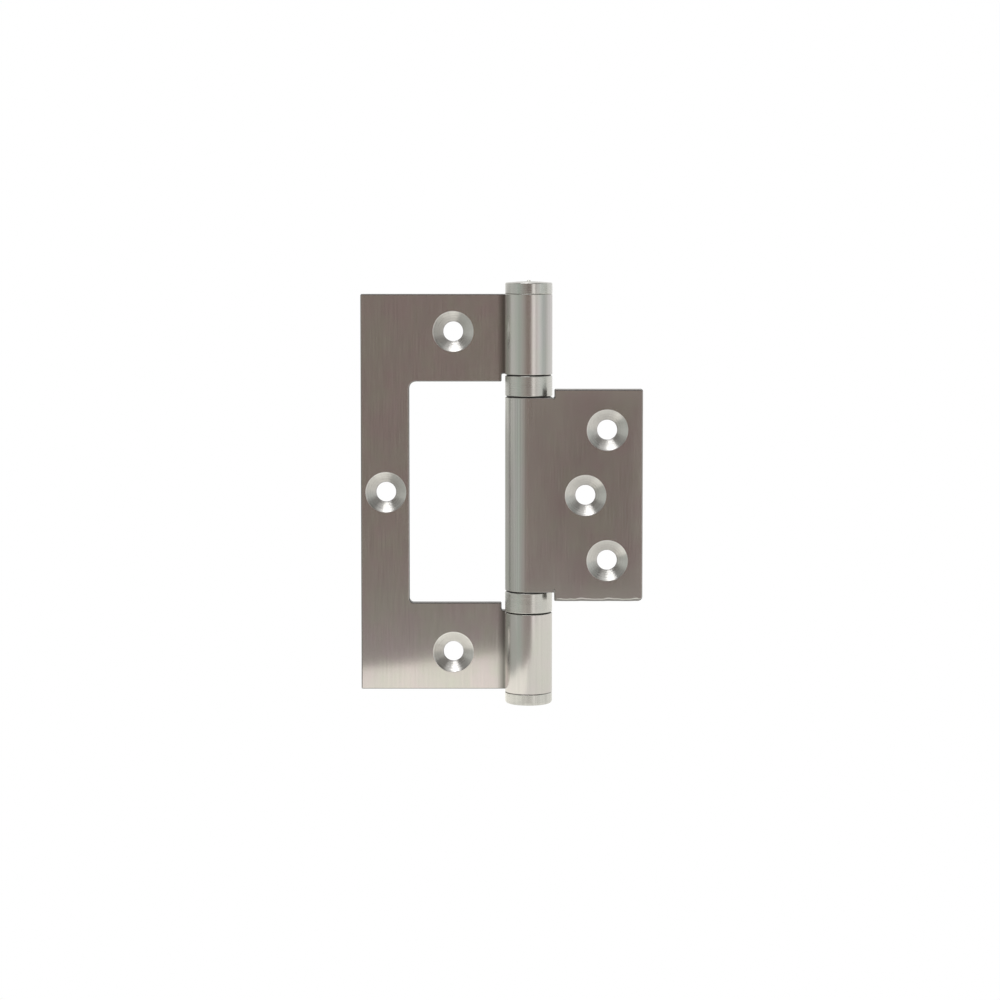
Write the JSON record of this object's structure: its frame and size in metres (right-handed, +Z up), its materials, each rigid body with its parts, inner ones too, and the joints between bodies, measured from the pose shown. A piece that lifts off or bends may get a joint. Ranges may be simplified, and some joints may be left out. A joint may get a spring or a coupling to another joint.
{
  "type": "door hinge",
  "caption": "Satin steel ball-bearing door hinge whose small leaf folds into the window of the large leaf, with countersunk screw holes.",
  "frame": {"origin": "on the pin's axis, at the flat underside of the bottom cap", "axes": "+Z up along the pin, +Y out of the frame leaf's back into the jamb, so the countersunk faces of the open hinge look along -Y and the door leaf lies on +X"},
  "size_m": [0.0706, 0.0118, 0.1063],
  "materials": {
    "leaf_steel": "satin, fine brushing along the hinge's height",
    "turned_steel": "turned and lightly polished",
    "pin_steel": "ground",
    "race_steel": "hardened, dark with grease",
    "ball_steel": "polished",
    "cage_brass": "pressed"
  },
  "bodies": {
    "frame": {"frame_leaf": "leaf_steel", "hinge_pin": "pin_steel", "top_cap": "turned_steel", "bottom_cap": "turned_steel", "upper_bearing_shell": "turned_steel", "lower_bearing_shell": "turned_steel", "upper_frame_race": "race_steel", "lower_frame_race": "race_steel"},
    "door": {"door_leaf": "leaf_steel", "upper_door_race": "race_steel", "lower_door_race": "race_steel"},
    "upper_balls": {"upper_ball_cage": "cage_brass", "upper_ball_1": "ball_steel", "upper_ball_2": "ball_steel", "upper_ball_3": "ball_steel", "upper_ball_4": "ball_steel", "upper_ball_5": "ball_steel", "upper_ball_6": "ball_steel", "upper_ball_7": "ball_steel", "upper_ball_8": "ball_steel", "upper_ball_9": "ball_steel", "upper_ball_10": "ball_steel"},
    "lower_balls": {"lower_ball_cage": "cage_brass", "lower_ball_1": "ball_steel", "lower_ball_2": "ball_steel", "lower_ball_3": "ball_steel", "lower_ball_4": "ball_steel", "lower_ball_5": "ball_steel", "lower_ball_6": "ball_steel", "lower_ball_7": "ball_steel", "lower_ball_8": "ball_steel", "lower_ball_9": "ball_steel", "lower_ball_10": "ball_steel"}
  },
  "joints": [
    {"name": "door_swing", "type": "hinge", "parent": "frame", "child": "door", "pos_m": [0, 0, 0.05285], "axis": [0, 0, -1], "range_deg": [0, 180]},
    {"name": "upper_cage_turn", "type": "hinge", "parent": "frame", "child": "upper_balls", "pos_m": [0, 0, 0.07998], "axis": [0, 0, -1], "range_deg": [0, 90]},
    {"name": "lower_cage_turn", "type": "hinge", "parent": "frame", "child": "lower_balls", "pos_m": [0, 0, 0.02573], "axis": [0, 0, -1], "range_deg": [0, 90]}
  ],
  "couplings": [
    {"joint": "upper_cage_turn", "follows": "door_swing", "ratio": 0.5},
    {"joint": "lower_cage_turn", "follows": "door_swing", "ratio": 0.5}
  ]
}
